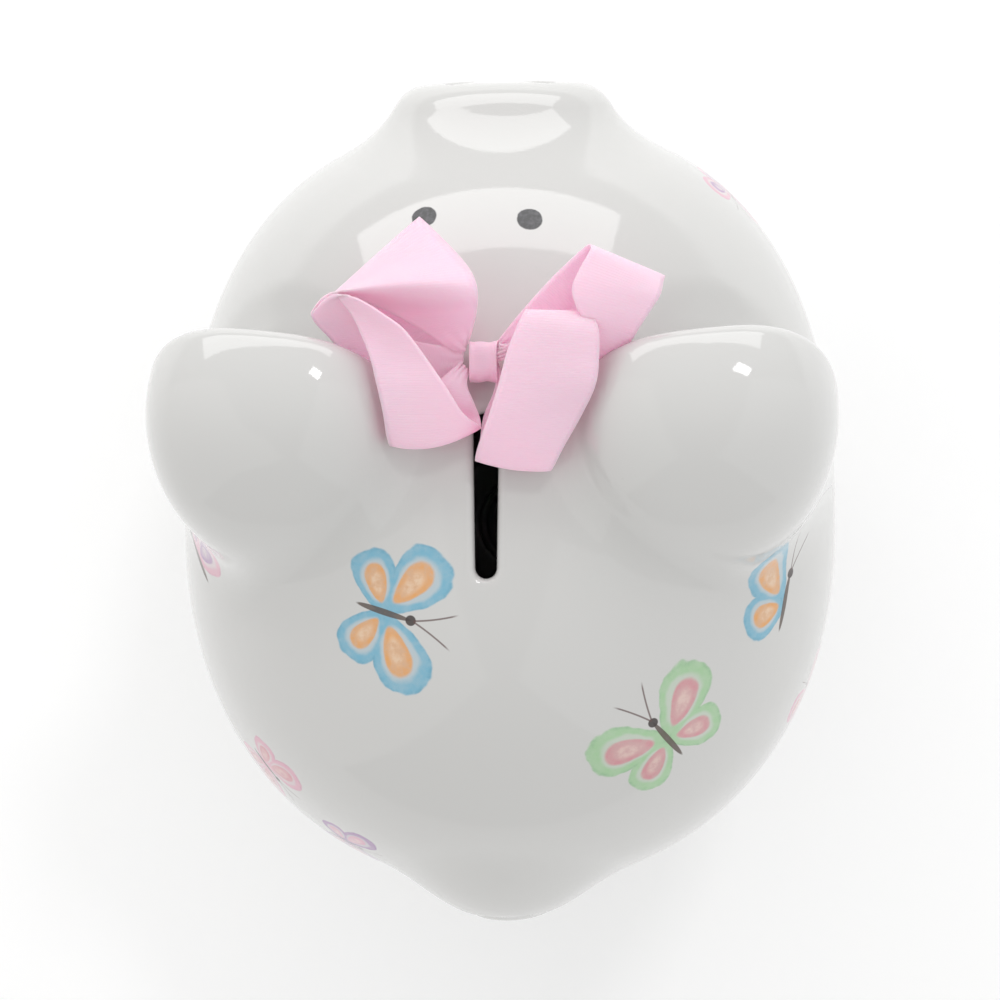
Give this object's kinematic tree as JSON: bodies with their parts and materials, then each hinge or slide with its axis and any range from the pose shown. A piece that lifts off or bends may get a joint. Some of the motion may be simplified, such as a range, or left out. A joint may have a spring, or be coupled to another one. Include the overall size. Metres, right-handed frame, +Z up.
{
  "type": "piggy bank",
  "caption": "Rounded glazed ceramic pig money box with hooded ears, a coin slot in the back, stubby feet, a ribbon bow and a rubber stopper underneath.",
  "frame": {"origin": "on the table, under the middle of the bank's bounding box", "axes": "+Z up, the snout points along -Y and the tail along +Y, +X towards the pig's left"},
  "size_m": [0.18, 0.2304, 0.197],
  "materials": {
    "body_glaze": "glossy white glaze with hand-painted butterflies",
    "snout_glaze": "glossy white glaze",
    "ear_glaze": "glossy white glaze",
    "foot_glaze": "glossy white glaze with an unglazed standing ring",
    "tail_glaze": "glossy white glaze",
    "stopper_rubber": "satin off-white moulded rubber",
    "front_ribbon": "soft pink ribbed grosgrain",
    "back_ribbon": "soft pink ribbed grosgrain",
    "knot_ribbon": "soft pink ribbed grosgrain",
    "tie_thread": "twisted sewing thread",
    "glue": "translucent hot-melt glue"
  },
  "bodies": {
    "bank": {"body_shell": "body_glaze", "snout": "snout_glaze", "ear_left": "ear_glaze", "ear_right": "ear_glaze", "foot_front_left": "foot_glaze", "foot_front_right": "foot_glaze", "foot_rear_left": "foot_glaze", "foot_rear_right": "foot_glaze", "tail": "tail_glaze", "bow_front_ribbon": "front_ribbon", "bow_back_ribbon": "back_ribbon", "bow_knot_band": "knot_ribbon", "bow_tie_thread": "tie_thread", "bow_glue_pad": "glue"},
    "stopper": {"stopper": "stopper_rubber"}
  },
  "joints": [
    {"name": "stopper_pull", "type": "slide", "parent": "bank", "child": "stopper", "axis": [0, 0, -1], "range_m": [0, 0.015]}
  ]
}
